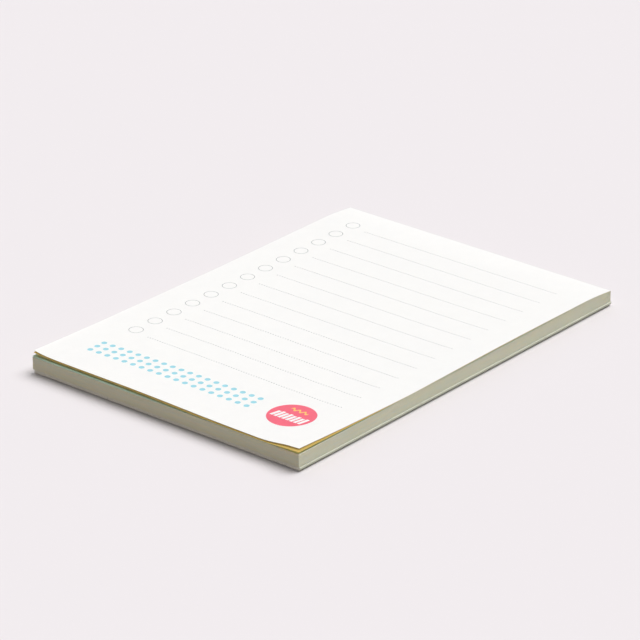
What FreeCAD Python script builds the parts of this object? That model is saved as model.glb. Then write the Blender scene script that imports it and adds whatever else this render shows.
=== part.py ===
import FreeCAD, Part
import math
import os

import Sketcher

# An A5 pad of carbonless copy paper, padded along its head (the far short edge) with a
# brushed film of glue.  It is made of three-part sets: a white top copy, a yellow copy and
# a green copy.  The three sheets of the uppermost set are loose except at the head, and
# they lift towards the foot.  The sets below them lie tight together and are one solid, on
# a stiff greyboard that sits a little to the right of the paper.
#
# Frame: X runs across the page to the right, Y from the foot to the head, Z up.  The origin
# is on the underside of the board, in the middle of the page.  All sizes are in millimetres.

SIZES = [
    # alias, value, what it is
    ("page_width", 148.0, "short side of every sheet"),
    ("page_length", 210.0, "long side of every sheet"),
    ("board_thickness", 1.9, "caliper of the greyboard back"),
    ("board_shift", 0.7, "how far the board stands out on the right"),
    ("stack_height", 5.75, "height of the closed sets at their highest"),
    ("foot_drop", 0.1, "how much lower the closed sets are at the foot"),
    ("head_drop", 1.2, "how much the glue draws the closed sets down at the head"),
    ("crest_distance", 120.0, "from the foot to where the closed sets are highest"),
    ("head_shoulder", 20.0, "length over which the closed sets fall to the head"),
    ("sheet_caliper", 0.1, "thickness of one loose sheet"),
    ("sheet_gap", 0.06, "air between neighbouring sheets where they lie flat"),
    ("glue_thickness", 0.3, "thickness of the film on the head edge"),
    ("glue_margin", 0.2, "bare strip under the film, at the foot of the board"),
    # How each loose sheet lifts at the foot: level on the left, down to its lowest, and
    # up to the right corner; and how far its free edges are drawn in there.
    ("white_left_lift", 1.3, "white sheet, left end of the foot edge"),
    ("white_low_lift", 0.42, "white sheet, lowest place of the foot edge"),
    ("white_right_lift", 1.3, "white sheet, right end of the foot edge"),
    ("white_lowest_at", 124.0, "white sheet, from the left to where it is lowest"),
    ("white_curl", 1.2, "white sheet, extra at the left corner"),
    ("white_wave", 0.4, "white sheet, wave half way along the right edge"),
    ("white_left_draw", 1.0, "white sheet, foot edge drawn in at its left end"),
    ("white_low_draw", 0.6, "white sheet, foot edge drawn in where it is lowest"),
    ("white_right_draw", 2.1, "white sheet, foot edge drawn in at its right end"),
    ("white_left_side", 0.2, "white sheet, left edge drawn in at the foot"),
    ("white_right_side", 1.5, "white sheet, right edge drawn in at the foot"),
    ("yellow_left_lift", 0.95, "yellow sheet, left end of the foot edge"),
    ("yellow_low_lift", 0.05, "yellow sheet, lowest place of the foot edge"),
    ("yellow_right_lift", 0.85, "yellow sheet, right end of the foot edge"),
    ("yellow_lowest_at", 120.0, "yellow sheet, from the left to where it is lowest"),
    ("yellow_curl", 0.8, "yellow sheet, extra at the left corner"),
    ("yellow_wave", 0.25, "yellow sheet, wave half way along the right edge"),
    ("yellow_left_draw", 0.7, "yellow sheet, foot edge drawn in at its left end"),
    ("yellow_low_draw", 0.1, "yellow sheet, foot edge drawn in where it is lowest"),
    ("yellow_right_draw", 0.1, "yellow sheet, foot edge drawn in at its right end"),
    ("yellow_left_side", 0.1, "yellow sheet, left edge drawn in at the foot"),
    ("yellow_right_side", 0.1, "yellow sheet, right edge drawn in at the foot"),
    ("green_left_lift", 0.2, "green sheet, left end of the foot edge"),
    ("green_low_lift", 0.0, "green sheet, lowest place of the foot edge"),
    ("green_right_lift", 0.0, "green sheet, right end of the foot edge"),
    ("green_lowest_at", 90.0, "green sheet, from the left to where it is lowest"),
    ("green_curl", 0.15, "green sheet, extra at the left corner"),
    ("green_wave", 0.1, "green sheet, wave half way along the right edge"),
    ("green_left_draw", 0.0, "green sheet, foot edge drawn in at its left end"),
    ("green_low_draw", 0.1, "green sheet, foot edge drawn in where it is lowest"),
    ("green_right_draw", 0.5, "green sheet, foot edge drawn in at its right end"),
    ("green_left_side", 0.0, "green sheet, left edge drawn in at the foot"),
    ("green_right_side", 0.3, "green sheet, right edge drawn in at the foot"),
    ("level_to", 44.0, "from the left to where the sheets start to come down"),
    ("rises_from", 128.0, "from the left to where they rise again to the right corner"),
    ("lift_reach_left", 124.0, "how far the lift runs up the left side"),
    ("lift_reach_right", 70.0, "how far the lift runs up the right side"),
    ("wave_from_head", 77.0, "from the head to the top of the right edge's wave"),
    ("wave_half_length", 76.0, "half the length of that wave"),
    ("wave_half_width", 45.0, "how far that wave reaches in from the right edge"),
    ("curl_across", 4.5, "how far the left corner's curl reaches in from the left edge"),
    ("curl_along", 38.0, "how far that curl reaches up the left edge"),
    ("draw_reach_left", 126.0, "how far the left edges are drawn in, from the foot"),
    ("draw_reach_right", 84.0, "how far the right edges are drawn in, from the foot"),
]

# How softly a loose sheet leaves the sets and its sides start to draw in: 1 would be a
# sharp fold there.
FADING_POWER = 1.2
DRAW_POWER = 2

# Grid on which a loose sheet's surface is worked out.
POINTS_ACROSS = 29
POINTS_ALONG = 31

SHEETS = ("green", "yellow", "white")     # from the lowest to the top one

doc = FreeCAD.newDocument("copy_pad")


def make_sizes():
    """The spreadsheet that holds every driving size."""
    sheet = doc.addObject("Spreadsheet::Sheet", "Sizes")
    for row, (alias, value, meaning) in enumerate(SIZES, start=1):
        sheet.set("A%d" % row, meaning)
        sheet.set("B%d" % row, "%g" % value)
        sheet.setAlias("B%d" % row, alias)
    doc.recompute()
    return sheet


sizes = make_sizes()


def size(alias):
    return float(sizes.get(alias))


def origin_plane(body, role):
    for feature in body.Origin.OriginFeatures:
        if feature.Role == role:
            return feature
    raise ValueError("no plane " + role)


def new_body(label):
    body = doc.addObject("PartDesign::Body", label + "_body")
    body.Label = label
    return body


def new_sketch(body, role, name):
    sketch = body.newObject("Sketcher::SketchObject", name)
    sketch.AttachmentSupport = (origin_plane(body, role), [""])
    sketch.MapMode = "FlatFace"
    return sketch


def point(x, y):
    return FreeCAD.Vector(x, y, 0)


def join_ends(sketch, count):
    """Ties the end of each edge to the start of the next, all the way round."""
    for edge in range(count):
        following = (edge + 1) % count
        sketch.addConstraint(Sketcher.Constraint("Coincident", edge, 2, following, 1))


def drive(sketch, kind, targets, value, expression):
    """Adds a dimension and binds it to the spreadsheet."""
    index = sketch.addConstraint(Sketcher.Constraint(kind, *targets, value))
    sketch.setExpression("Constraints[%d]" % index, expression)


def add_rectangle(sketch, left, right, low, high):
    """A closed rectangle: edge 0 is the lower one, and they run anticlockwise."""
    corners = [point(left, low), point(right, low), point(right, high), point(left, high)]
    for index, corner in enumerate(corners):
        sketch.addGeometry(Part.LineSegment(corner, corners[(index + 1) % 4]), False)
    join_ends(sketch, 4)
    for edge in (0, 2):
        sketch.addConstraint(Sketcher.Constraint("Horizontal", edge))
    for edge in (1, 3):
        sketch.addConstraint(Sketcher.Constraint("Vertical", edge))


def add_pad(body, sketch, expression, both_ways=False, backwards=False):
    pad = body.newObject("PartDesign::Pad", sketch.Name + "_pad")
    pad.Profile = sketch
    pad.Midplane = both_ways
    pad.Reversed = backwards
    pad.setExpression("Length", expression)
    body.Tip = pad
    return pad


def make_backing_board():
    """Greyboard of the sheets' own size, slid a little to the right of them."""
    body = new_body("backing_board")
    sketch = new_sketch(body, "XY_Plane", "board_outline")
    half_width = size("page_width") / 2
    half_length = size("page_length") / 2
    add_rectangle(sketch, -half_width, half_width, -half_length, half_length)
    drive(sketch, "DistanceX", (-1, 1, 0, 2), half_width, "Sizes.page_width / 2")
    drive(sketch, "DistanceX", (0, 1, 0, 2), 2 * half_width, "Sizes.page_width")
    drive(sketch, "DistanceY", (-1, 1, 1, 2), half_length, "Sizes.page_length / 2")
    drive(sketch, "DistanceY", (1, 1, 1, 2), 2 * half_length, "Sizes.page_length")
    add_pad(body, sketch, "Sizes.board_thickness")
    body.setExpression("Placement.Base.x", "Sizes.board_shift")
    return body


def arc_radius(run, drop):
    """Radius of an arc that leaves level and falls by drop over run."""
    return (run * run + drop * drop) / (2 * drop)


def crown(along):
    """Height of the closed sets above the board, at a distance from the foot."""
    top = size("stack_height")
    before_crest = size("crest_distance") - along
    past_shoulder = along - (size("page_length") - size("head_shoulder"))
    if before_crest > 0:
        radius = arc_radius(size("crest_distance"), size("foot_drop"))
        return top - radius + math.sqrt(radius ** 2 - before_crest ** 2)
    if past_shoulder > 0:
        radius = arc_radius(size("head_shoulder"), size("head_drop"))
        return top - radius + math.sqrt(radius ** 2 - past_shoulder ** 2)
    return top


def make_page_block():
    """The closed sets: one solid whose side outline is crowned by two tangent arcs."""
    body = new_body("page_block")
    sketch = new_sketch(body, "YZ_Plane", "side_outline")
    half_length = size("page_length") / 2
    crest = size("crest_distance") - half_length
    shoulder = half_length - size("head_shoulder")
    top = size("stack_height")
    foot_top = point(-half_length, crown(0))
    head_top = point(half_length, crown(size("page_length")))
    crest_top = point(crest, top)
    shoulder_top = point(shoulder, top)
    foot_middle = point((crest - half_length) / 2, crown(size("crest_distance") / 2))
    head_middle_along = size("page_length") - size("head_shoulder") / 2
    head_middle = point(head_middle_along - half_length, crown(head_middle_along))
    foot_base = point(-half_length, 0)
    head_base = point(half_length, 0)

    sketch.addGeometry(Part.LineSegment(foot_base, head_base), False)
    sketch.addGeometry(Part.LineSegment(head_base, head_top), False)
    sketch.addGeometry(Part.Arc(shoulder_top, head_middle, head_top), False)
    sketch.addGeometry(Part.LineSegment(shoulder_top, crest_top), False)
    sketch.addGeometry(Part.Arc(foot_top, foot_middle, crest_top), False)
    sketch.addGeometry(Part.LineSegment(foot_top, foot_base), False)
    # the arcs run clockwise over the top, so their own start and end are the other way on
    for first, first_end, second, second_end in (
            (0, 2, 1, 1), (1, 2, 2, 1), (4, 2, 5, 1), (5, 2, 0, 1)):
        sketch.addConstraint(
            Sketcher.Constraint("Coincident", first, first_end, second, second_end))
    sketch.addConstraint(Sketcher.Constraint("Tangent", 2, 2, 3, 1))
    sketch.addConstraint(Sketcher.Constraint("Tangent", 3, 2, 4, 1))
    for edge in (0, 3):
        sketch.addConstraint(Sketcher.Constraint("Horizontal", edge))
    for edge in (1, 5):
        sketch.addConstraint(Sketcher.Constraint("Vertical", edge))
    sketch.addConstraint(Sketcher.Constraint("PointOnObject", 0, 1, -1))
    drive(sketch, "DistanceX", (0, 1, 0, 2), 2 * half_length, "Sizes.page_length")
    drive(sketch, "DistanceX", (-1, 1, 0, 2), half_length, "Sizes.page_length / 2")
    drive(sketch, "DistanceX", (0, 1, 3, 2), size("crest_distance"), "Sizes.crest_distance")
    drive(sketch, "DistanceX", (3, 1, 0, 2), size("head_shoulder"), "Sizes.head_shoulder")
    drive(sketch, "DistanceY", (0, 1, 3, 2), top, "Sizes.stack_height")
    drive(sketch, "DistanceY", (4, 2, 3, 2), size("foot_drop"), "Sizes.foot_drop")
    drive(sketch, "DistanceY", (1, 2, 3, 1), size("head_drop"), "Sizes.head_drop")
    add_pad(body, sketch, "Sizes.page_width", both_ways=True)
    body.setExpression("Placement.Base.z", "Sizes.board_thickness")
    return body


def ease(value):
    """Goes smoothly from 0 to 1 while value does, and stays there."""
    inside = min(1.0, max(0.0, value))
    return (1 - math.cos(math.pi * inside)) / 2


def along_foot(colour, kind, across):
    """A sheet's lift or draw on its foot edge, at a distance from the left."""
    low = size(colour + "_low_" + kind)
    left = size(colour + "_left_" + kind) - low
    right = size(colour + "_right_" + kind) - low
    way_down = (across - size("level_to")) / (size(colour + "_lowest_at") - size("level_to"))
    way_up = (across - size("rises_from")) / (size("page_width") - size("rises_from"))
    return low + left * (1 - ease(way_down)) + right * ease(way_up)


def lift(colour, across, along):
    """How far a loose sheet stands off where it would lie flat.

    across is the distance from the left edge and along the distance from the foot, both
    measured on the flat sheet.
    """
    reach = size("lift_reach_left")
    reach += (size("lift_reach_right") - reach) * across / size("page_width")
    fading = max(0.0, 1 - along / reach) ** FADING_POWER
    rolled = across / size("curl_across") + along / size("curl_along")
    curl = size(colour + "_curl") * math.exp(-rolled)

    from_head = size("page_length") - along
    from_right = size("page_width") - across
    along_wave = (from_head - size("wave_from_head")) / size("wave_half_length")
    into_wave = from_right / size("wave_half_width")
    wave = size(colour + "_wave") * ease(1 - abs(along_wave)) * ease(1 - into_wave)
    return along_foot(colour, "lift", across) * fading + curl + wave


def drawn_in(colour, across, along):
    """Where a place on the flat sheet comes to, with its free edges drawn in as it curls."""
    width = size("page_width")
    length = size("page_length")
    left_fading = max(0.0, 1 - along / size("draw_reach_left")) ** DRAW_POWER
    right_fading = max(0.0, 1 - along / size("draw_reach_right")) ** DRAW_POWER
    left = size(colour + "_left_side") * left_fading
    right = size(colour + "_right_side") * right_fading
    foot = along_foot(colour, "draw", across)
    x = left + across * (width - left - right) / width
    y = foot + along * (length - foot) / length
    return x, y


def make_loose_sheet(colour, label, below):
    """One loose sheet, glued down at the head, with so many loose sheets below it."""
    half_width = size("page_width") / 2
    half_length = size("page_length") / 2
    grid = []
    for row in range(POINTS_ALONG):
        along = size("page_length") * row / (POINTS_ALONG - 1)
        points = []
        for column in range(POINTS_ACROSS):
            across = size("page_width") * column / (POINTS_ACROSS - 1)
            x, y = drawn_in(colour, across, along)
            height = crown(y) + lift(colour, across, along)
            points.append(FreeCAD.Vector(x - half_width, y - half_length, height))
        grid.append(points)
    surface = Part.BSplineSurface()
    surface.interpolate(grid)
    underside = surface.toShape()
    feature = doc.addObject("Part::Feature", label + "_sheet")
    feature.Shape = underside.extrude(FreeCAD.Vector(0, 0, size("sheet_caliper")))
    feature.Label = label
    rise = below * size("sheet_caliper") + (below + 1) * size("sheet_gap")
    base = FreeCAD.Vector(0, 0, size("board_thickness") + rise)
    feature.Placement = FreeCAD.Placement(base, FreeCAD.Rotation())
    return feature


def make_head_glue():
    """The film on the head edge, from the board up to the top sheet."""
    body = new_body("head_glue")
    sketch = new_sketch(body, "XZ_Plane", "film_outline")
    half_width = size("page_width") / 2
    low = size("glue_margin")
    sheets = "%d * (Sizes.sheet_caliper + Sizes.sheet_gap)" % len(SHEETS)
    top_expression = "Sizes.board_thickness + Sizes.stack_height - Sizes.head_drop + " + sheets
    loose_height = len(SHEETS) * (size("sheet_caliper") + size("sheet_gap"))
    top = size("board_thickness") + crown(size("page_length")) + loose_height
    add_rectangle(sketch, -half_width, half_width, low, top)
    drive(sketch, "DistanceX", (-1, 1, 0, 2), half_width, "Sizes.page_width / 2")
    drive(sketch, "DistanceX", (0, 1, 0, 2), 2 * half_width, "Sizes.page_width")
    drive(sketch, "DistanceY", (-1, 1, 0, 1), low, "Sizes.glue_margin")
    drive(sketch, "DistanceY", (-1, 1, 2, 1), top, top_expression)
    add_pad(body, sketch, "Sizes.glue_thickness", backwards=True)
    body.setExpression("Placement.Base.y", "Sizes.page_length / 2")
    return body


def make_all():
    parts = [make_backing_board(), make_page_block()]
    labels = {
        "green": "green_copy_sheet",
        "yellow": "yellow_copy_sheet",
        "white": "white_top_sheet",
    }
    for below, colour in enumerate(SHEETS):
        parts.append(make_loose_sheet(colour, labels[colour], below))
    parts.append(make_head_glue())
    doc.recompute()
    return parts


def check(parts):
    """Stops with a message where anything failed to build."""
    for item in doc.Objects:
        bad = [state for state in item.State if state in ("Invalid", "Error")]
        if bad:
            raise RuntimeError("%s is %s" % (item.Label, bad[0]))
    for item in parts:
        if item.Shape.isNull() or not item.Shape.isValid():
            raise RuntimeError("%s has no valid shape" % item.Label)
        if len(item.Shape.Solids) != 1:
            raise RuntimeError("%s is not one solid" % item.Label)


def write(parts):
    os.makedirs("parts", exist_ok=True)
    for item in parts:
        item.Shape.exportStep(os.path.join("parts", item.Label + ".step"))
        box = item.Shape.BoundBox
        print("%-18s x %8.3f %8.3f  y %8.3f %8.3f  z %7.3f %7.3f  volume %10.2f" % (
            item.Label, box.XMin, box.XMax, box.YMin, box.YMax, box.ZMin, box.ZMax,
            item.Shape.Volume))


pieces = make_all()
check(pieces)
write(pieces)
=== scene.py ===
"""Looks for the carbonless duplicate book.

It is a glued A5 pad of white, yellow and green sheets on a greyboard back.
"""

import math

import bpy
import numpy as np
from mathutils import Matrix, Vector
from mathutils.geometry import delaunay_2d_cdt


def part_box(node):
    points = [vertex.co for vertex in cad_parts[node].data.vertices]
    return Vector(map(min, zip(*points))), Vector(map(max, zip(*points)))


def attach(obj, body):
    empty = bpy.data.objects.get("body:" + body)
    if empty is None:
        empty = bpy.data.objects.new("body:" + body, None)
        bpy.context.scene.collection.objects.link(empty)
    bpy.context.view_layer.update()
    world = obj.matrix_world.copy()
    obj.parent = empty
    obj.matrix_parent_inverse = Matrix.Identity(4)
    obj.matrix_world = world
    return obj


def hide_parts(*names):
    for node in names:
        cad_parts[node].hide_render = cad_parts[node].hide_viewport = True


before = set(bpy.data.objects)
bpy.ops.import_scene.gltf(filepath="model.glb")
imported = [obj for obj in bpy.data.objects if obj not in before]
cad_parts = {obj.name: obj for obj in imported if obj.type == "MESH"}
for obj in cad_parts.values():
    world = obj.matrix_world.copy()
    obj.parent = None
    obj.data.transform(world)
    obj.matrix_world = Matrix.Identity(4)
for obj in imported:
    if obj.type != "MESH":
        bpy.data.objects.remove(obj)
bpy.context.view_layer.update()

MM = 0.001  # lengths here are in millimetres, and are turned into metres where Blender takes them
SHEET_CALIPER = 0.1  # one loose sheet, as in the CAD
rng = np.random.default_rng(20240)


# ---------------------------------------------------------------- what the CAD says

STEEP = 0.5  # a face whose normal's Z is over this faces up, and one nearer 0 is a side
DECIMALS = 4  # points are told apart by their millimetres rounded to this many decimals
LEVEL_WITHIN = 0.0005  # the page block's top is level where it is this near its highest


def box_mm(node):
    """A CAD node's lowest and highest corners in millimetres."""
    low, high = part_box(node)
    return np.array(low) / MM, np.array(high) / MM


board_low, board_high = box_mm("backing_board")
block_low, block_high = box_mm("page_block")
page_low, page_high = block_low[:2], block_high[:2]
glue_low, glue_high = box_mm("head_glue")


def vertices_of(mesh, wanted):
    """The vertices of the faces that are wanted, as rounded millimetres."""
    used = {v for p in mesh.polygons if wanted(p) for v in p.vertices}
    return {tuple(round(c / MM, DECIMALS) for c in mesh.vertices[v].co) for v in used}


def upper_vertices(node):
    """The vertices of a CAD node's upper faces, in millimetres, the highest at each place."""
    found = vertices_of(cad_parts[node].data, lambda face: face.normal.z > STEEP)
    heights = {(x, y): z for x, y, z in sorted(found)}
    return np.array([(x, y, z) for (x, y), z in heights.items()])


def block_top(y):
    """The height of the page block's upper face.

    It is level, with one arc down to the foot and one down to the head.
    """
    top = upper_vertices("page_block")
    peak = top[:, 2].max()
    level = top[top[:, 2] > peak - LEVEL_WITHIN, 1]
    height = np.full(len(y), peak)
    for start, end in ((level.min(), page_low[1]), (level.max(), page_high[1])):
        run = abs(end - start)
        drop = peak - top[np.abs(top[:, 1] - end).argmin(), 2]
        radius = (run**2 + drop**2) / (2 * drop)
        past = np.clip((y - start) / (end - start), 0, 1) * run
        height -= radius - np.sqrt(radius**2 - past**2)
    return height


def bending(gap_squared):
    """The thin-plate kernel, r squared times log r, and 0 where r is 0."""
    smallest = 1e-12  # keeps the logarithm finite
    return 0.5 * gap_squared * np.log(np.maximum(gap_squared, smallest))


def gaps_squared(a, b):
    """The squared distance from each point of a to each of b."""
    return ((a[:, None, :] - b[None, :, :]) ** 2).sum(axis=2)


class Surface:
    """A smooth height over x and y, through the upper vertices of a CAD sheet.

    It is the page block's own height, and above that it bends as a thin plate does.
    """

    UNIT = 100.0  # millimetres, so that the numbers solved for are near 1
    POINTS_AT_ONCE = 2000  # keeps the tables small

    def __init__(self, node):
        points = upper_vertices(node)
        self.centres = points[:, :2] / self.UNIT
        n = len(points)
        system = np.zeros((n + 3, n + 3))
        system[:n, :n] = bending(gaps_squared(self.centres, self.centres))
        system[:n, n] = system[n, :n] = 1
        system[:n, n + 1 :] = self.centres
        system[n + 1 :, :n] = self.centres.T
        above = points[:, 2] - block_top(points[:, 1])
        self.weights = np.linalg.solve(system, np.append(above, np.zeros(3)))

    def at(self, xy):
        above = []
        for part in np.array_split(xy / self.UNIT, max(1, len(xy) // self.POINTS_AT_ONCE)):
            bent = bending(gaps_squared(part, self.centres)) @ self.weights[:-3]
            above.append(bent + self.weights[-3] + part @ self.weights[-2:])
        return block_top(xy[:, 1]) + np.concatenate(above)


# ---------------------------------------------------------------- shapes


def steps(low, high, about):
    """Evenly spaced numbers from low to high, about that far apart."""
    return np.linspace(low, high, max(2, round((high - low) / about) + 1))


def ripple(places, longest, waves=7):
    """A smooth unevenness along a line, mostly within 1 either way.

    It is a sum of ever shorter and weaker waves, and the first is the longest.
    """
    shorter, weaker, spread = 1.7, 0.7, 2.2
    total = np.zeros(len(places))
    for k in range(waves):
        length = longest / (1 + shorter * k)
        total += np.sin(2 * math.pi * (places / length + rng.random())) / (1 + k) ** weaker
    return total / spread


def ring_faces(rings, count):
    """Quads between rings of so many points each.

    The rings go counter-clockwise seen from above, and the lowest comes first.
    """
    faces = []
    for ring in range(rings - 1):
        a, b = ring * count, (ring + 1) * count
        for k in range(count):
            n = (k + 1) % count
            faces.append((a + k, a + n, b + n, b + k))
    return faces


def put_in_scene(name, data):
    """A new object that holds this mesh, lamp or camera."""
    thing = bpy.data.objects.new(name, data)
    bpy.context.scene.collection.objects.link(thing)
    return thing


def make_piece(name, verts, faces, materials, sharp, kinds=None):
    """A mesh object from millimetres, smooth but for edges sharper than that many degrees.

    The kinds say which of the materials each face has, and without them it is the first.
    """
    mesh = bpy.data.meshes.new(name)
    mesh.from_pydata((np.asarray(verts) * MM).tolist(), [], faces)
    for material in materials:
        mesh.materials.append(material)
    if kinds is not None:
        mesh.polygons.foreach_set("material_index", kinds)
    mesh.validate()
    mesh.update()
    mesh.shade_smooth()
    mesh.set_sharp_from_angle(angle=math.radians(sharp))
    return put_in_scene(name, mesh)


def place(piece, node):
    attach(piece, "root")
    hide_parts(node)


# ---------------------------------------------------------------- materials


class Look:
    """A Principled material being built, fed by noise over the object's own coordinates."""

    NOISE_ROUGHNESS = 0.55  # how strong each finer layer of a noise is beside the one before

    def __init__(self, name, roughness=0.85, specular=0.35):
        self.material = bpy.data.materials.new(name)
        self.material.use_nodes = True
        self.tree = self.material.node_tree
        self.tree.nodes.clear()
        self.output = self.tree.nodes.new("ShaderNodeOutputMaterial")
        self.shader = self.tree.nodes.new("ShaderNodeBsdfPrincipled")
        self.link(self.shader.outputs["BSDF"], self.output.inputs["Surface"])
        self.shader.inputs["Roughness"].default_value = roughness
        self.shader.inputs["Specular IOR Level"].default_value = specular
        self.coordinates = self.tree.nodes.new("ShaderNodeTexCoord")

    def link(self, source, target):
        self.tree.links.new(source, target)

    def noise(self, size, stretch=(1, 1, 1), detail=3.0, seed=0.0):
        """Noise whose grains are that many millimetres across, times stretch along each axis."""
        mapping = self.tree.nodes.new("ShaderNodeMapping")
        mapping.inputs["Location"].default_value = (seed, seed * 0.7, seed * 1.3)
        mapping.inputs["Scale"].default_value = [1 / (size * MM * s) for s in stretch]
        self.link(self.coordinates.outputs["Object"], mapping.inputs["Vector"])
        noise = self.tree.nodes.new("ShaderNodeTexNoise")
        noise.inputs["Scale"].default_value = 1.0
        noise.inputs["Detail"].default_value = detail
        noise.inputs["Roughness"].default_value = self.NOISE_ROUGHNESS
        self.link(mapping.outputs["Vector"], noise.inputs["Vector"])
        return noise.outputs["Fac"]

    def spread(self, value, low, high, from_low=0.3, from_high=0.7):
        """Maps a noise to low..high, and unless told otherwise from its usual range."""
        node = self.tree.nodes.new("ShaderNodeMapRange")
        node.inputs["From Min"].default_value = from_low
        node.inputs["From Max"].default_value = from_high
        node.inputs["To Min"].default_value = low
        node.inputs["To Max"].default_value = high
        self.link(value, node.inputs["Value"])
        return node.outputs["Result"]

    def facing(self, axis):
        """1 where the surface faces along that axis, either way, and 0 where it lies along it."""
        split = self.tree.nodes.new("ShaderNodeSeparateXYZ")
        self.link(self.coordinates.outputs["Normal"], split.inputs[0])
        size = self.tree.nodes.new("ShaderNodeMath")
        size.operation = "ABSOLUTE"
        self.link(split.outputs[axis], size.inputs[0])
        return size.outputs[0]

    def mix(self, factor, first, second, blend="MIX"):
        """A colour between first and second, each a colour or another node's output."""
        node = self.tree.nodes.new("ShaderNodeMix")
        node.data_type = "RGBA"
        node.blend_type = blend
        colour_a, colour_b, result = node.inputs[6], node.inputs[7], node.outputs[2]
        if isinstance(factor, float):
            node.inputs[0].default_value = factor
        else:
            self.link(factor, node.inputs[0])
        for socket, colour in ((colour_a, first), (colour_b, second)):
            if isinstance(colour, tuple):
                socket.default_value = (*colour, 1)
            else:
                self.link(colour, socket)
        return result

    def tinted(self, base, tint):
        """The base multiplied by a tint."""
        return self.mix(1.0, base, tint, "MULTIPLY")

    def colour(self, source):
        self.link(source, self.shader.inputs["Base Color"])

    def roughness(self, source):
        self.link(source, self.shader.inputs["Roughness"])

    def translucent(self, share):
        """Lets that share of the light through each side of a thin sheet."""
        through = self.tree.nodes.new("ShaderNodeBsdfTranslucent")
        base_colour = self.shader.inputs["Base Color"].links[0].from_socket
        self.link(base_colour, through.inputs["Color"])
        both = self.tree.nodes.new("ShaderNodeMixShader")
        both.inputs[0].default_value = share
        self.link(self.shader.outputs["BSDF"], both.inputs[1])
        self.link(through.outputs["BSDF"], both.inputs[2])
        self.link(both.outputs["Shader"], self.output.inputs["Surface"])

    def bump(self, height, depth, strength):
        """Bumps from a height between 0 and 1, which is that many millimetres deep."""
        node = self.tree.nodes.new("ShaderNodeBump")
        node.inputs["Strength"].default_value = strength
        node.inputs["Distance"].default_value = depth * MM
        self.link(height, node.inputs["Height"])
        self.link(node.outputs["Normal"], self.shader.inputs["Normal"])


def shade(colour, by):
    return tuple(c * by for c in colour)


def paper(name, colour, tint, glow, seed=0.0):
    """Uncoated office paper: cloudy formation, fine fibres, and a matt toothy surface.

    A glow of 0 to 1 is the share of the light that goes through.
    """
    look = Look(name)
    clouds = look.noise(5.5, detail=4, seed=seed)
    fibres = look.noise(0.45, stretch=(1, 2.6, 1), detail=3, seed=seed + 3)
    clouded = look.mix(look.spread(clouds, 0.0, 1.0), shade(colour, 0.985), tint)
    look.colour(look.mix(look.spread(fibres, 0.0, 0.16), clouded, shade(colour, 0.93)))
    look.roughness(look.spread(fibres, 0.80, 0.93))
    look.bump(fibres, depth=0.012, strength=0.45)
    look.translucent(glow)
    return look.material


# The cut faces at the foot and head, which face along Y, are multiplied by this darker, browner
# tint: painted shade.
FOOT_AND_HEAD_PAINTED_SHADE = (0.785, 0.735, 0.695)


def cut_paper(name, colour, seed=0.0):
    """The guillotined edge of one colour of paper.

    It has short fibres along the sheet, faint knife lines up the stack, and slow bands and casts
    of colour along it.
    """
    look = Look(name, specular=0.25)
    fibres = look.noise(0.8, stretch=(1, 1, 0.12), detail=3, seed=seed)
    knife = look.noise(0.9, stretch=(1, 1, 30), detail=2, seed=seed + 5)
    bands = look.noise(16, stretch=(1, 1, 0.025), detail=2, seed=seed + 9)
    base = look.mix(look.spread(fibres, 0.0, 0.5), colour, shade(colour, 0.86))
    base = look.mix(look.spread(knife, 0.0, 0.22), base, shade(colour, 0.84))
    base = look.mix(look.spread(bands, 0.0, 0.35), base, shade(colour, 1.08))
    casts = look.noise(9, stretch=(1, 1, 0.3), detail=1, seed=seed + 13)
    pinkish, greenish = (1.02, 0.985, 1.0), (0.985, 1.015, 0.99)
    base = look.tinted(base, look.mix(look.spread(casts, 0.0, 1.0), pinkish, greenish))
    # Painted shade: the faces along Y, at the foot and head, take the darker tint.
    look.colour(look.mix(look.facing("Y"), base, look.tinted(base, FOOT_AND_HEAD_PAINTED_SHADE)))
    look.roughness(look.spread(fibres, 0.84, 0.95))
    look.bump(fibres, depth=0.03, strength=0.5)
    return look.material


def ink(name, colour, seed=0.0):
    """Offset ink on paper: nearly even, with the paper's tooth showing faintly through."""
    look = Look(name, specular=0.4)
    tooth = look.noise(0.3, detail=2, seed=seed)
    mottle = look.noise(2.2, detail=2, seed=seed + 4)
    base = look.mix(look.spread(mottle, 0.0, 1.0), shade(colour, 0.96), shade(colour, 1.02))
    paler = tuple(c + (0.87 - c) * 0.25 for c in colour)
    look.colour(look.mix(look.spread(tooth, 0.0, 0.22), base, paler))
    look.roughness(look.spread(tooth, 0.6, 0.74))
    look.bump(tooth, depth=0.008, strength=0.35)
    return look.material


# The board's cut sides are painted darker than its faces: painted shade.
# Along the grain it is cut at its right and left, which face along X, and across the grain at its
# foot and head, which face along Y.
BOARD_SIDE_PAINTED_SHADE = ("X", (0.80, 0.84, 0.775)), ("Y", (0.82, 0.765, 0.755))


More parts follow.
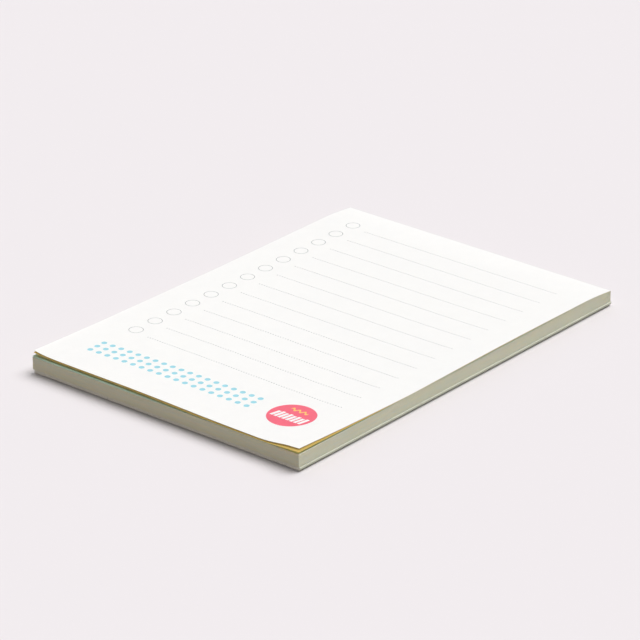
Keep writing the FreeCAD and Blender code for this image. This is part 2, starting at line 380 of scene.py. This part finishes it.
def greyboard():
    """Pressed grey board of recycled pulp.

    It is cloudy, with darker and paler flecks and a felt-like surface.
    """
    look = Look("greyboard", specular=0.3)
    clouds = look.noise(7, detail=5)
    fibres = look.noise(0.7, stretch=(1, 2.2, 0.35), detail=4, seed=2)
    dark_specks = look.noise(0.9, stretch=(1, 1.5, 1), detail=1, seed=7)
    pale_specks = look.noise(1.3, stretch=(1.8, 1, 1), detail=1, seed=11)
    darker, paler = (0.66, 0.665, 0.575), (0.745, 0.75, 0.645)
    base = look.mix(look.spread(clouds, 0.0, 1.0), darker, paler)
    base = look.mix(look.spread(fibres, 0.0, 0.5), base, (0.57, 0.565, 0.48))
    base = look.mix(look.spread(dark_specks, 0.0, 0.75, 0.69, 0.74), base, (0.25, 0.235, 0.20))
    base = look.mix(look.spread(pale_specks, 0.0, 0.7, 0.67, 0.72), base, (0.76, 0.77, 0.69))
    # Painted shade: the sides facing along X and along Y are darkened by their tints.
    for axis, tint in BOARD_SIDE_PAINTED_SHADE:
        base = look.mix(look.facing(axis), base, look.tinted(base, tint))
    look.colour(base)
    look.roughness(look.spread(fibres, 0.84, 0.97))
    look.bump(fibres, depth=0.05, strength=0.6)
    return look.material


def padding_glue():
    """Brushed padding adhesive: a milky, slightly glossy film with streaks from the brush."""
    look = Look("padding_glue", specular=0.5)
    streaks = look.noise(1.1, stretch=(16, 1, 1), detail=4)
    pools = look.noise(6, stretch=(2, 1, 0.6), detail=3, seed=4)
    thick, thin = (0.72, 0.715, 0.65), (0.81, 0.805, 0.755)
    base = look.mix(look.spread(pools, 0.0, 1.0), thick, thin)
    look.colour(look.mix(look.spread(streaks, 0.0, 0.6), base, (0.66, 0.65, 0.57)))
    look.roughness(look.spread(streaks, 0.34, 0.5))
    look.bump(streaks, depth=0.05, strength=0.4)
    return look.material


# Each paper's colour, and the one that its clouds turn to.
WHITE = (0.985, 0.985, 0.98), (0.99, 0.99, 0.985)
# The yellow faces are darker and more saturated than the cut edges, as the paper looks in shade:
# painted shade.
YELLOW = (0.81, 0.615, 0.18), (0.84, 0.645, 0.215)
GREEN = (0.56, 0.76, 0.62), (0.60, 0.80, 0.66)
# The light that a sheet's upper face lets in goes on through its underside.
UNDER_GLOW = 0.9

white_paper = paper("white_paper", *WHITE, glow=0.15)
white_under = paper("white_underside", *WHITE, glow=UNDER_GLOW)
yellow_paper = paper("yellow_paper", *YELLOW, glow=0.45, seed=1.7)
yellow_under = paper("yellow_underside", *YELLOW, glow=UNDER_GLOW, seed=1.7)
green_paper = paper("green_paper", *GREEN, glow=0.25, seed=3.1)
green_under = paper("green_underside", *GREEN, glow=UNDER_GLOW, seed=3.1)
white_edge = cut_paper("white_paper_edge", (0.757, 0.79, 0.865))
# The yellow cut edges are paler and brighter than the yellow faces: a painted highlight along them.
yellow_edge_painted_highlight = cut_paper("yellow_paper_edge_painted_highlight", (0.97, 0.79, 0.37), seed=2.3)
green_edge = cut_paper("green_paper_edge", (0.51, 0.65, 0.545), seed=4.9)
grey_ink = ink("grey_ink", (0.36, 0.375, 0.38))
blue_ink = ink("blue_ink", (0.275, 0.61, 0.70), seed=1.3)
coral_ink = ink("coral_ink", (0.79, 0.096, 0.158), seed=2.6)
yellow_ink = ink("yellow_ink", (0.88, 0.50, 0.12), seed=3.9)


# ---------------------------------------------------------------- greyboard

BOARD_CORNER, BOARD_LEAST_CORNER = 0.3, 0.1
BOARD_SPACING = 1.1
# The left and head sides have this share of the other two sides' rounding.
BOARD_HIDDEN_INSET = 0.15
# The foot's rounding sets in over this length from the left corner, and this far up the left side.
BOARD_RUN_IN, BOARD_FOOT_BAND = 12.0, 3.2
BOARD_FUZZ_WAVE, BOARD_FUZZ_GRAIN = 9.0, 0.4
# The height, how far in from the outline, how much further in at the right side, and how rough.
# Heights in the first table are from the underside, and in the second from the top.
BOARD_LOWER_PROFILE = (
    (0.0, 3.0, 0.0, 0.0),
    (0.0, 1.6, 0.5, 0.0),
    (0.36, 1.4, 0.5, 0.02),
    (0.42, 0.50, 0.60, 0.03),
    (0.48, 0.14, 0.72, 0.03),
    (0.56, 0.05, 0.72, 0.02),
    (0.66, 0.02, 0.60, 0.03),
    (0.80, 0.02, 0.34, 0.03),
    (1.00, 0.02, 0.12, 0.03),
    (1.25, 0.02, 0.0, 0.02),
)
BOARD_UPPER_PROFILE = (
    (-0.15, 0.02, 0.0, 0.02),
    (-0.05, 0.05, 0.02, 0.03),
    (0.0, 0.11, 0.04, 0.03),
    (0.0, 0.15, 0.04, 0.03),
    (0.0, 3.0, 0.0, 0.0),
)


def rounded_outline(low, high, radius, divisions, corner_points=5):
    """Points round a rectangle with rounded corners, and each point's outward direction.

    The straight sides are cut into those many divisions, first the foot and head and then the
    others.
    """
    points, outward = [], []
    corners = (
        (high[0] - radius, low[1] + radius, -90),
        (high[0] - radius, high[1] - radius, 0),
        (low[0] + radius, high[1] - radius, 90),
        (low[0] + radius, low[1] + radius, 180),
    )
    for n, (x, y, start) in enumerate(corners):
        for turn in np.radians(np.linspace(start, start + 90, corner_points)):
            points.append((x + radius * math.cos(turn), y + radius * math.sin(turn)))
            outward.append((math.cos(turn), math.sin(turn)))
        last = np.array(points[-1])
        x, y, start = corners[(n + 1) % 4]
        turn = math.radians(start)
        ahead = np.array((x + radius * math.cos(turn), y + radius * math.sin(turn)))
        count = divisions[(n + 1) % 2]
        for k in range(1, count):
            points.append(tuple(last + (ahead - last) * k / count))
            outward.append((math.cos(turn), math.sin(turn)))
    return np.array(points), np.array(outward)


def make_board():
    """The backing board.

    It has a crisp upper edge, a softer lower one that stands off the table, and slightly fuzzy
    cut sides.
    """
    low, high = board_low[:2], board_high[:2]
    divisions = [round(side / BOARD_SPACING) for side in high - low]
    top = board_high[2]
    profile = BOARD_LOWER_PROFILE + tuple((top + row[0], *row[1:]) for row in BOARD_UPPER_PROFILE)
    rings = []
    for height, inset, under, rough in profile:
        radius = max(BOARD_CORNER - inset, BOARD_LEAST_CORNER)
        hidden = inset * BOARD_HIDDEN_INSET
        edge, outward = rounded_outline(
            low + (hidden, inset), high - (inset + under, hidden), radius, divisions
        )
        near_left = 1 - np.clip((edge[:, 0] - low[0]) / BOARD_RUN_IN, 0, 1)
        near_foot = np.clip(1 - (edge[:, 1] - low[1] - inset) / BOARD_FOOT_BAND, 0, 1)
        edge[:, 1] -= (inset - hidden) * near_left * near_foot
        count = len(edge)
        if not rings:
            wander = ripple(np.arange(count) * BOARD_SPACING, BOARD_FUZZ_WAVE)
        fuzz = rough * (0.5 + 0.5 * wander) + rough * BOARD_FUZZ_GRAIN * rng.random(count)
        edge -= outward * np.maximum(fuzz, 0)[:, None]
        rings.append(np.c_[edge, np.full(count, height)])
    verts = np.concatenate(rings)
    faces = ring_faces(len(rings), count)
    faces.append(list(range(count))[::-1])
    faces.append(list(range(len(verts) - count, len(verts))))
    return make_piece("greyboard_back", verts, faces, [greyboard()], sharp=35)


place(make_board(), "backing_board")


# ---------------------------------------------------------------- the block of pages

SETS = 24
SET_EDGES = [green_edge, yellow_edge_painted_highlight, white_edge]  # from the lowest sheet of a set up
BLOCK_SPACING = (6.0, 5.0)
# Up one sheet: the share of its height, and how deep the groove between sheets is there.
SHEET_PROFILE = (0.0, 0.045), (0.14, 0.0), (0.86, 0.0)
TOP_GROOVE = 0.03
# Each ring round the block wanders this much along its sides, in this many waves of up to this
# length, which start this much further along at the top than at the bottom.
WANDER, WANDER_WAVES, WANDER_WAVE, WANDER_SHIFT = 0.012, 3, 90.0, 31
# Each sheet is set back a little at each side, and a few sheets in a hundred more than that.
SLIP, MORE_OFTEN, MORE_SLIP = 0.012, 0.06, 0.035


def make_block():
    """The closed sets, with every sheet's cut edge in its own colour and a fine groove between."""
    sheets = SETS * len(SET_EDGES)
    xs = steps(block_low[0], block_high[0], BLOCK_SPACING[0])
    ys = steps(block_low[1], block_high[1], BLOCK_SPACING[1])
    nx, ny = len(xs), len(ys)
    foot = np.c_[xs[:-1], np.full(nx - 1, ys[0])]
    right = np.c_[np.full(ny - 1, xs[-1]), ys[:-1]]
    head = np.c_[xs[:0:-1], np.full(nx - 1, ys[-1])]
    left = np.c_[np.full(ny - 1, xs[0]), ys[:0:-1]]
    outline = np.concatenate((foot, right, head, left))
    count = len(outline)
    height = block_top(outline[:, 1]) - block_low[2]
    on_left, on_right = outline[:, 0] == xs[0], outline[:, 0] == xs[-1]
    on_foot, on_head = outline[:, 1] == ys[0], outline[:, 1] == ys[-1]
    lengths = np.linalg.norm(np.diff(outline, axis=0), axis=1)
    perimeter = np.concatenate(((0,), np.cumsum(lengths)))

    def ring(share, slips, groove):
        """The outline at a share of the block's height, drawn in by the slips and the groove."""
        inset = np.zeros((count, 2))
        places = perimeter + WANDER_SHIFT * share
        wander = WANDER * (1 + ripple(places, WANDER_WAVE, WANDER_WAVES))
        for side, slip, axis, sign in (
            (on_left, slips[0], 0, 1),
            (on_right, slips[1], 0, -1),
            (on_foot, slips[2], 1, 1),
            (on_head, slips[3], 1, -1),
        ):
            inset[side, axis] += sign * (slip + groove + np.maximum(wander[side], 0))
        return np.c_[outline + inset, block_low[2] + height * share]

    rings, kinds = [], []
    for k in range(sheets):
        slips = np.abs(rng.normal(0, SLIP, 4)) + (rng.random(4) < MORE_OFTEN) * MORE_SLIP
        for part, groove in SHEET_PROFILE:
            rings.append(ring((k + part) / sheets, slips, groove))
            kinds += [k % len(SET_EDGES)] * count
    rings.append(ring(1.0, slips, TOP_GROOVE))
    verts = np.concatenate(rings)
    faces = ring_faces(len(rings), count)

    def cap(first):
        """Bands from the left to the right side of a ring, which follow the block's crown."""
        at_left = [first] + [first + count - k for k in range(1, ny)]
        at_right = [first + nx - 1 + k for k in range(ny)]
        bands = []
        for k in range(ny - 1):
            band = [at_left[k], at_right[k], at_right[k + 1], at_left[k + 1]]
            if k == 0:
                band = list(range(first, first + nx)) + band[2:]
            if k == ny - 2:
                band = band[:2] + list(range(at_right[-1], at_left[-1] + 1))
            bands.append(band)
        return bands

    lower = [band[::-1] for band in cap(0)]
    upper = cap(len(verts) - count)
    faces += lower + upper
    kinds += [0] * len(lower) + [len(SET_EDGES)] * len(upper)
    looks = [*SET_EDGES, white_paper]
    return make_piece("page_block_sheets", verts, faces, looks, sharp=25, kinds=kinds)


place(make_block(), "page_block")


# ---------------------------------------------------------------- loose sheets

LEFT, FOOT, RIGHT, HEAD = range(4)
X, Y = 0, 1
SHEET_SPACING = 2.6
CLEAR_OF_PRINT = 0.35  # the sheet's own grid keeps this far from the outlines of the print


class Rim:
    """The four sides of a CAD sheet seen from above, which aren't quite the page's rectangle."""

    def __init__(self, node):
        sides = vertices_of(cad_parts[node].data, lambda face: abs(face.normal.z) < STEEP)
        rim = np.array([p for p in upper_vertices(node) if tuple(p) in sides])[:, :2]
        inward = np.c_[rim - page_low, page_high - rim]  # from the left, foot, right and head
        nearest = inward.argmin(axis=1)
        corners = {
            (i, j): rim[(inward[:, i] + inward[:, j]).argmin()]
            for i in (LEFT, RIGHT)
            for j in (FOOT, HEAD)
        }
        self.sides = []
        for side in (LEFT, FOOT, RIGHT, HEAD):
            ends = [corner for pair, corner in corners.items() if side in pair]
            line = np.concatenate((rim[nearest == side], ends))
            self.sides.append(line[np.argsort(line[:, self.runs_along(side)])])

    @staticmethod
    def runs_along(side):
        return Y if side in (LEFT, RIGHT) else X

    def side(self, number, at):
        """Where a side lies, at a distance along it: its x for left and right, or else its y."""
        line, along = self.sides[number], self.runs_along(number)
        return np.interp(at, line[:, along], line[:, 1 - along])

    def placed(self, points):
        """Moves points of the page's rectangle to their places between the four sides."""
        share = (points - page_low) / (page_high - page_low)

        def between_foot_and_head(x):
            foot, head = self.side(FOOT, x), self.side(HEAD, x)
            return foot + share[:, Y] * (head - foot)

        y = between_foot_and_head(points[:, X])
        left, right = self.side(LEFT, y), self.side(RIGHT, y)
        x = left + share[:, X] * (right - left)
        return np.c_[x, between_foot_and_head(x)]


# The kinds of face on a loose sheet, each with a look of its own.
BARE, UNDERSIDE, EDGE, GREY_INK, BLUE_INK, CORAL_INK, YELLOW_INK = range(7)


def closed_sheet(name, node, shapes, looks):
    """A thin closed sheet whose top follows the CAD sheet, with its underside a caliper lower.

    The shapes are what is printed on it, each an outline and the kind of the faces inside.
    """
    points, triangles, inside, outline = triangulate([printed for printed, _ in shapes])
    kinds = [BARE if n < 0 else shapes[n][1] for n in inside]
    points = Rim(node).placed(points)
    low, high = box_mm(node)
    heights = np.clip(Surface(node).at(points), low[2] + SHEET_CALIPER, high[2])
    count = len(points)
    verts = np.concatenate((np.c_[points, heights], np.c_[points, heights - SHEET_CALIPER]))
    faces = triangles + [(a + count, c + count, b + count) for a, b, c in triangles]
    faces += [(a, a + count, b + count, b) for a, b in zip(outline, np.roll(outline, -1))]
    kinds += [UNDERSIDE] * len(triangles) + [EDGE] * len(outline)
    return make_piece(name, verts, faces, looks, sharp=40, kinds=kinds)


def triangulate(shapes):
    """Divides the page's rectangle into triangles that keep to the outlines of the shapes.

    Returns the points, the triangles, the shape each triangle is in (-1 for none), and the
    sheet's outline.
    """
    low, high = page_low, page_high
    xs, ys = steps(low[0], high[0], SHEET_SPACING), steps(low[1], high[1], SHEET_SPACING)
    border = [(x, low[1]) for x in xs[:-1]] + [(high[0], y) for y in ys[:-1]]
    border += [(x, high[1]) for x in xs[:0:-1]] + [(low[0], y) for y in ys[:0:-1]]
    inner = [(x, y) for x in xs[1:-1] for y in ys[1:-1]]
    if shapes:
        drawn = np.concatenate(shapes)
        inner = [p for p in inner if np.abs(drawn - p).max(axis=1).min() > CLEAR_OF_PRINT]
    points = [Vector(map(float, p)) for p in border + inner]
    regions = [list(range(len(border)))]  # the page itself, and then the shapes
    for shape in shapes:
        start = len(points)
        points += [Vector(map(float, p)) for p in shape]
        regions.append(list(range(start, len(points))))
    triangles_inside, merge_within, say_where_from = 1, 1e-5, True
    placed, _, triangles, _, _, owners = delaunay_2d_cdt(
        points, [], regions, triangles_inside, merge_within, say_where_from
    )
    placed = np.array([tuple(p) for p in placed])
    triangles = [tuple(t) for t in triangles]
    inside = [max(owner) - 1 for owner in owners]
    number = {tuple(np.round(p, DECIMALS)): n for n, p in enumerate(placed)}
    kept = np.array(border, np.float32).astype(float)  # as exact as the points that come back
    outline = [number[tuple(np.round(p, DECIMALS))] for p in kept]
    return placed, triangles, inside, outline


def ellipse(x, y, across, points, along=None):
    """An outline that many points long, across in X and along in Y, or else a circle."""
    turns = np.linspace(0, 2 * math.pi, points, endpoint=False)
    return np.c_[x + np.cos(turns) * across / 2, y + np.sin(turns) * (along or across) / 2]


# The form printed on the white sheet: rows with a tick circle and a dotted rule each, three rows
# of dots, and a badge.
ROWS = 13
ROW_PITCH = 12.27
CIRCLE_X, FIRST_CIRCLE_Y = -57.3, 87.55
CIRCLE_ACROSS, CIRCLE_STROKE, CIRCLE_POINTS = 6.6, 0.28, 40
RULE_FROM, RULE_TO, FIRST_RULE_Y = -48.9, 60.8, 85.1
DASH_PITCH, DASH_LENGTH, DASH_THICK, DASH_POINTS = 1.40, 0.60, 0.62, 8
DOT_COLUMNS, DOT_FROM, DOT_PITCH = 19, -58.5, 4.843
DOT_ACROSS, DOT_POINTS = 2.6, 16
DOT_ROWS, DOT_RISE = (-77.45, -81.8, -86.2), 0.02
DISC_X, DISC_Y, DISC_ACROSS, DISC_POINTS = 49.0, -80.75, 21.0, 72
# The badge has a generic motif in place of wording: a wavy line over a row of slanted bars. Its
# places are measured from the middle of the disc.
WAVE_X, WAVE_Y, WAVE_ACROSS = 0.1, 5.2, 9.0
WAVE_HALVES, WAVE_SWING, WAVE_HALF_THICK, WAVE_POINTS = 6, 0.8, 0.6, 37
BARS, BAR_X, BAR_PITCH, BAR_ACROSS, BAR_LEAN = 8, 0.4, 2.1, 1.5, 0.5
BAR_FOOT, BAR_TOPS = -4.5, (0.5, 1.0)
SLANT = 0.008  # how much the columns lean to the left towards the head


def form_rows():
    """The tick circles, each a grey disc with bare paper over it, and the dotted rules."""
    shapes = []
    for row in range(ROWS):
        y = FIRST_CIRCLE_Y - row * ROW_PITCH
        hole_across = CIRCLE_ACROSS - 2 * CIRCLE_STROKE
        shapes.append((ellipse(CIRCLE_X, y, CIRCLE_ACROSS, CIRCLE_POINTS), GREY_INK))
        shapes.append((ellipse(CIRCLE_X, y, hole_across, CIRCLE_POINTS), BARE))
        y = FIRST_RULE_Y - row * ROW_PITCH
        for x in np.arange(RULE_FROM + DASH_PITCH / 2, RULE_TO, DASH_PITCH):
            dash = ellipse(x, y, DASH_LENGTH, DASH_POINTS, DASH_THICK)
            shapes.append((dash, GREY_INK))
    return shapes


def dots():
    """The rows of dots, which rise a little to the right."""
    shapes = []
    for y in DOT_ROWS:
        for column in range(DOT_COLUMNS):
            x = DOT_FROM + column * DOT_PITCH
            dot = ellipse(x, y + DOT_RISE * x, DOT_ACROSS, DOT_POINTS)
            shapes.append((dot, BLUE_INK))
    return shapes


def badge():
    """The disc, the wavy line on it, and the bars, which are bare paper."""
    shapes = [(ellipse(DISC_X, DISC_Y, DISC_ACROSS, DISC_POINTS), CORAL_INK)]
    share = np.linspace(0, 1, WAVE_POINTS)
    crest = DISC_Y + WAVE_Y + WAVE_SWING * np.sin(share * WAVE_HALVES * math.pi)
    along = DISC_X + WAVE_X + (share - 0.5) * WAVE_ACROSS
    below, above = np.c_[along, crest - WAVE_HALF_THICK], np.c_[along, crest + WAVE_HALF_THICK]
    shapes.append((np.concatenate((below, above[::-1])), YELLOW_INK))
    for k in range(BARS):
        x = DISC_X + BAR_X + (k - (BARS - 1) / 2) * BAR_PITCH
        foot, top = DISC_Y + BAR_FOOT, DISC_Y + BAR_TOPS[k % 2]
        bar = (
            (x - BAR_ACROSS / 2 - BAR_LEAN, foot),
            (x + BAR_ACROSS / 2 - BAR_LEAN, foot),
            (x + BAR_ACROSS / 2 + BAR_LEAN, top),
            (x - BAR_ACROSS / 2 + BAR_LEAN, top),
        )
        shapes.append((np.array(bar), BARE))
    return shapes


def printed_shapes():
    """Every outline of the form with the kind of its faces. Later ones lie over earlier ones."""
    shapes = form_rows() + dots() + badge()
    return [(np.c_[line[:, X] - SLANT * line[:, Y], line[:, Y]], kind) for line, kind in shapes]


green_looks = [green_paper, green_under, green_edge]
yellow_looks = [yellow_paper, yellow_under, yellow_edge_painted_highlight]
white_looks = [white_paper, white_under, white_edge, grey_ink, blue_ink, coral_ink, yellow_ink]
green_sheet = closed_sheet("green_sheet", "green_copy_sheet", [], green_looks)
place(green_sheet, "green_copy_sheet")
yellow_sheet = closed_sheet("yellow_sheet", "yellow_copy_sheet", [], yellow_looks)
place(yellow_sheet, "yellow_copy_sheet")
white_sheet = closed_sheet("white_sheet", "white_top_sheet", printed_shapes(), white_looks)
place(white_sheet, "white_top_sheet")


# ---------------------------------------------------------------- padding glue

GLUE_INSET_X, GLUE_INSET_Z = 0.02, 0.01
GLUE_SPACING_X, GLUE_SPACING_Z = 1.2, 0.08
# How many strokes of the brush, the first one's radians per millimetre up the film, how many more
# each further one has, and how much they slope.
STROKES, STROKE_RATE, STROKE_RATE_MORE, STROKE_SLOPE = 9, 1.3, 1.1, 0.010
# Along a stroke its depth comes and goes by a share of it: the first one's millimetres per radian,
# how many more each further one has, and the share.
STROKE_RUN, STROKE_RUN_MORE, STROKE_FADE = 14, 3, 0.3
RIDGE_PITCH = 0.246  # about one set's height
# Shares of the film's full thickness.
COVER, STROKE_DEPTH, RIDGE_DEPTH, COVER_LEAST, COVER_MOST = 0.72, 0.05, 0.04, 0.3, 0.98
# At its border the film has this share of its cover, and it has nearly all of it a few times
# this length further in.
BORDER_COVER, BORDER_FADE = 0.12, 0.12


def make_glue():
    """The brushed film along the head.

    It is thin at its borders, and the edges of the sets show through it as fine ridges.
    """
    xs = steps(glue_low[0] + GLUE_INSET_X, glue_high[0] - GLUE_INSET_X, GLUE_SPACING_X)
    zs = steps(glue_low[2] + GLUE_INSET_Z, glue_high[2] - GLUE_INSET_Z, GLUE_SPACING_Z)
    nx, nz = len(xs), len(zs)
    back, front = glue_low[1], glue_high[1]
    thick = front - back
    across, up = np.meshgrid(xs, zs, indexing="ij")
    streaks = np.zeros((nx, nz))
    for k in range(STROKES):
        start = rng.random(2) * 2 * math.pi
        slope = rng.normal(0, STROKE_SLOPE)
        rate = STROKE_RATE + STROKE_RATE_MORE * k
        run = STROKE_RUN + STROKE_RUN_MORE * k
        fading = 1 - STROKE_FADE + STROKE_FADE * np.sin(across / run + start[1])
        streaks += np.sin((up + across * slope) * rate + start[0]) * fading
    ridges = np.cos(2 * math.pi * (up - block_low[2]) / RIDGE_PITCH)
    cover = COVER + STROKE_DEPTH * streaks + RIDGE_DEPTH * ridges
    from_border = np.minimum.reduce((across - xs[0], xs[-1] - across, up - zs[0], zs[-1] - up))
    full = 1 - np.exp(-from_border / BORDER_FADE)
    film = thick * np.clip(cover, COVER_LEAST, COVER_MOST)
    film *= BORDER_COVER + (1 - BORDER_COVER) * full
    fronts = np.stack((across, back + film, up), axis=2).reshape(-1, 3)
    backs = np.stack((across, np.full_like(across, back), up), axis=2).reshape(-1, 3)
    verts = np.concatenate((fronts, backs))
    count = len(fronts)
    index = np.arange(count).reshape(nx, nz).tolist()
    faces = []
    for i in range(nx - 1):
        for j in range(nz - 1):
            a, b, c, d = index[i][j], index[i + 1][j], index[i + 1][j + 1], index[i][j + 1]
            faces.append((a, d, c, b))
            faces.append((a + count, b + count, c + count, d + count))
    lower, upper = [column[0] for column in index], [column[-1] for column in index]
    border = lower + index[-1][1:] + upper[-2::-1] + index[0][-2:0:-1]
    for a, b in zip(border, border[1:] + border[:1]):
        faces.append((a, b, b + count, a + count))
    return make_piece("head_glue_film", verts, faces, [padding_glue()], sharp=50)


place(make_glue(), "head_glue")


# ---------------------------------------------------------------- floor, light and camera

FLOOR = (0.789, 0.751, 0.768)
BACKDROP = (0.896, 0.855, 0.871)
FLOOR_HALF, FLOOR_Z = 12.0, -1e-5  # metres

# name, strength, how many degrees across the lamp looks, and the way towards it
LAMPS = (
    ("softbox", 2.80, 46, (0.213, 0.50, 1.0)),
    ("left_fill", 0.50, 60, (-1.0, 0.7, 1.1)),
    ("front_fill", 0.42, 60, (-0.15, -1.0, 0.28)),
)
SURROUND = 0.20

# The camera's angles in degrees, its distance and what it looks at in millimetres, its lens and
# sensor in millimetres, and the nearest and farthest that it sees in metres.
AZIMUTH, ELEVATION, ROLL = 40.425, 24.522, -0.559
DISTANCE, AIM = 1803.7, (-8.94, 6.36, 4.0)
FOCAL_LENGTH, SENSOR_WIDTH = 234.6, 36.0
NEAREST, FARTHEST = 0.05, 60.0


def make_floor():
    h = FLOOR_HALF
    corners = [(x, y, FLOOR_Z) for x, y in ((-h, -h), (h, -h), (h, h), (-h, h))]
    mesh = bpy.data.meshes.new("floor")
    mesh.from_pydata(corners, [], [(0, 1, 2, 3)])
    look = Look("floor", roughness=0.95, specular=0.0)
    look.shader.inputs["Base Color"].default_value = (*FLOOR, 1)
    mesh.materials.append(look.material)
    floor = put_in_scene("floor", mesh)


def make_lamps():
    """A broad soft lamp high on the head and right side, and two dim ones that fill the shade."""
    for name, energy, across, towards in LAMPS:
        lamp = bpy.data.lights.new(name, "SUN")
        lamp.energy = energy
        lamp.angle = math.radians(across)
        holder = put_in_scene(name, lamp)
        holder.rotation_mode = "QUATERNION"
        holder.rotation_quaternion = Vector(towards).to_track_quat("Z", "Y")


def make_surround():
    """A dim even light from all round, which the camera and reflections see as the backdrop."""
    world = bpy.data.worlds.new("surround")
    bpy.context.scene.world = world
    world.use_nodes = True
    nodes, links = world.node_tree.nodes, world.node_tree.links
    nodes.clear()

    def background(colour, strength):
        node = nodes.new("ShaderNodeBackground")
        node.inputs["Color"].default_value = (*colour, 1)
        node.inputs["Strength"].default_value = strength
        return node.outputs[0]

    def either(first, second):
        node = nodes.new("ShaderNodeMath")
        node.operation = "MAXIMUM"
        links.new(first, node.inputs[0])
        links.new(second, node.inputs[1])
        return node.outputs[0]

    rays = nodes.new("ShaderNodeLightPath").outputs
    seen = either(either(rays["Is Camera Ray"], rays["Is Glossy Ray"]), rays["Is Transmission Ray"])
    mix = nodes.new("ShaderNodeMixShader")
    links.new(seen, mix.inputs[0])
    links.new(background((1, 1, 1), SURROUND), mix.inputs[1])
    links.new(background(BACKDROP, 1.0), mix.inputs[2])
    output = nodes.new("ShaderNodeOutputWorld")
    links.new(mix.outputs[0], output.inputs["Surface"])


def make_camera():
    """A long lens towards the foot's right corner from a little above."""
    a, e, r = (math.radians(v) for v in (AZIMUTH, ELEVATION, ROLL))
    back = Vector((math.sin(a) * math.cos(e), -math.cos(a) * math.cos(e), math.sin(e)))
    right = Vector((math.cos(a), math.sin(a), 0))
    up = back.cross(right)
    rolled_right = right * math.cos(r) + up * math.sin(r)
    rolled_up = up * math.cos(r) - right * math.sin(r)
    lens = bpy.data.cameras.new("camera")
    lens.sensor_width = SENSOR_WIDTH
    lens.lens = FOCAL_LENGTH
    lens.clip_start, lens.clip_end = NEAREST, FARTHEST
    camera = put_in_scene("camera", lens)
    turned = Matrix((rolled_right, rolled_up, back)).transposed().to_4x4()
    camera.matrix_world = Matrix.Translation((Vector(AIM) + back * DISTANCE) * MM) @ turned
    bpy.context.scene.camera = camera


make_floor()
make_lamps()
make_surround()
make_camera()

bpy.context.scene.view_settings.view_transform = "Standard"
